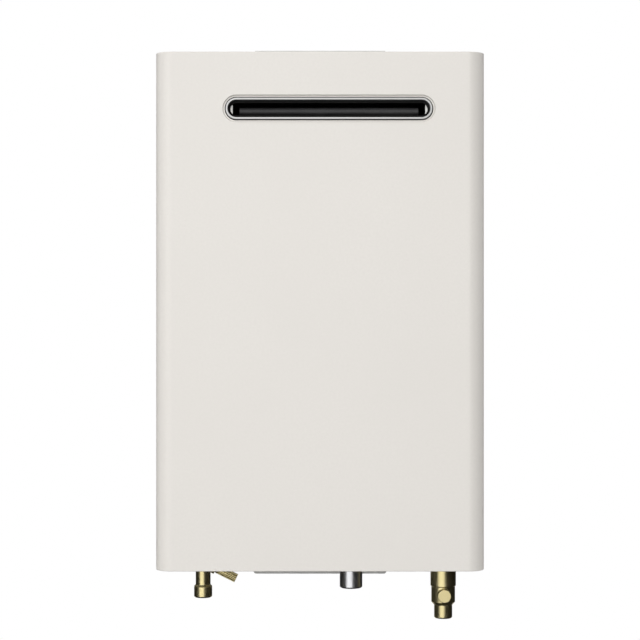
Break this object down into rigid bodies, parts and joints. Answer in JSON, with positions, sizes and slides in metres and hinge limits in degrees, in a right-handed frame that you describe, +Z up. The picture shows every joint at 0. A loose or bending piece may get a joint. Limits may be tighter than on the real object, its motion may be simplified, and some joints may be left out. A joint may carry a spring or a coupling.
{
  "type": "propane tankless water heater",
  "caption": "Wall-hung tankless water heater: off-white sheet cabinet with rounded upright edges, front flue slot with bezel, wall brackets, brass water ends and a steel gas nipple below.",
  "frame": {"origin": "centre of the four wall bolts, on the wall plane", "axes": "+Z up, +Y towards the wall, +X to the right as seen from the front"},
  "size_m": [0.375, 0.1805, 0.6856],
  "materials": {
    "cover_paint": "fine satin powder coat, warm off-white",
    "case_steel": "galvanised sheet",
    "bracket_steel": "zinc plated",
    "bezel_metal": "bright satin",
    "screw_steel": "bright zinc",
    "flue_steel": "stainless, heat dulled",
    "deflector_steel": "dark heat-proof paint",
    "nipple_steel": "bright turned",
    "brass": "turned",
    "copper": "drawn copper",
    "rubber": "matte",
    "dark_plastic": "moulded",
    "grey_plastic": "moulded",
    "white_plastic": "moulded",
    "ceramic": "glazed ceramic",
    "board": "solder mask",
    "valve_alloy": "die cast"
  },
  "bodies": {
    "heater": {"rear_case": "case_steel", "flue_gasket": "rubber", "exhaust_deflector": "deflector_steel", "upper_bracket": "bracket_steel", "lower_bracket": "bracket_steel", "bracket_rivets": "screw_steel", "cover_screws": "screw_steel", "intake_grille": "case_steel", "cable_grommet": "rubber", "exhaust_hood": "flue_steel", "heat_exchanger_shell": "copper", "heat_exchanger_fins": "copper", "heat_exchanger_tubes": "copper", "overheat_switch": "ceramic", "burner_box": "flue_steel", "burner_bars": "flue_steel", "gas_manifold": "valve_alloy", "gas_nozzles": "brass", "igniter_electrodes": "ceramic", "flame_rod": "ceramic", "spark_module": "dark_plastic", "stack_brackets": "case_steel", "fan_housing": "case_steel", "fan_motor": "dark_plastic", "hot_outlet_fitting": "brass", "hot_pipe": "copper", "cold_inlet_fitting": "brass", "flow_sensor_body": "grey_plastic", "flow_axle": "screw_steel", "cold_pipe": "copper", "pipe_clips": "dark_plastic", "water_thermistors": "grey_plastic", "gas_inlet_nipple": "nipple_steel", "gas_valve_body": "valve_alloy", "gas_solenoid_coil": "dark_plastic", "plunger_spring": "screw_steel", "gas_pipe": "bracket_steel", "control_box": "dark_plastic", "control_box_lid": "grey_plastic", "control_board": "board", "board_parts": "dark_plastic", "board_screws": "screw_steel", "wiring_loom": "rubber"},
    "cover": {"front_cover": "cover_paint", "vent_bezel": "bezel_metal"},
    "fan_rotor": {"fan_impeller": "grey_plastic", "fan_shaft": "screw_steel"},
    "flow_rotor": {"flow_turbine": "white_plastic"},
    "gas_plunger": {"gas_valve_plunger": "screw_steel"},
    "hot_seal": {"hot_plug_seal": "rubber"},
    "hot_plug": {"hot_drain_plug": "brass"},
    "cold_seal": {"cold_plug_seal": "rubber"},
    "cold_plug": {"cold_drain_plug": "brass", "inlet_strainer": "screw_steel"}
  },
  "joints": [
    {"name": "cover_slide", "type": "slide", "parent": "heater", "child": "cover", "axis": [0, -1, 0], "range_m": [0, 0.25]},
    {"name": "fan_spin", "type": "hinge", "parent": "heater", "child": "fan_rotor", "pos_m": [-0.02, -0.09, -0.07412], "axis": [0, 1, 0], "continuous": true},
    {"name": "flow_spin", "type": "hinge", "parent": "heater", "child": "flow_rotor", "pos_m": [0.146, -0.09, -0.253], "axis": [0, 0, 1], "continuous": true},
    {"name": "plunger_lift", "type": "slide", "parent": "heater", "child": "gas_plunger", "axis": [0, 0, 1], "range_m": [0, 0.003], "stiffness_N_per_m": 400, "springref_m": -0.005, "deforming": ["plunger_spring"]},
    {"name": "hot_plug_turn", "type": "hinge", "parent": "heater", "child": "hot_seal", "pos_m": [-0.1385, -0.09, -0.2961], "axis": [0.8942, 0, -0.4478], "range_deg": [0, 2250]},
    {"name": "hot_plug_travel", "type": "slide", "parent": "hot_seal", "child": "hot_plug", "axis": [0.8942, 0, -0.4478], "range_m": [0, 0.009]},
    {"name": "cold_plug_turn", "type": "hinge", "parent": "heater", "child": "cold_seal", "pos_m": [0.146, -0.09, -0.3334], "axis": [0, -1, 0], "range_deg": [0, 2250]},
    {"name": "cold_plug_travel", "type": "slide", "parent": "cold_seal", "child": "cold_plug", "axis": [0, -1, 0], "range_m": [0, 0.009]}
  ],
  "couplings": [
    {"joint": "hot_plug_turn", "follows": "hot_plug_travel", "rad_per_m": 4188.8},
    {"joint": "cold_plug_turn", "follows": "cold_plug_travel", "rad_per_m": 4188.8}
  ]
}
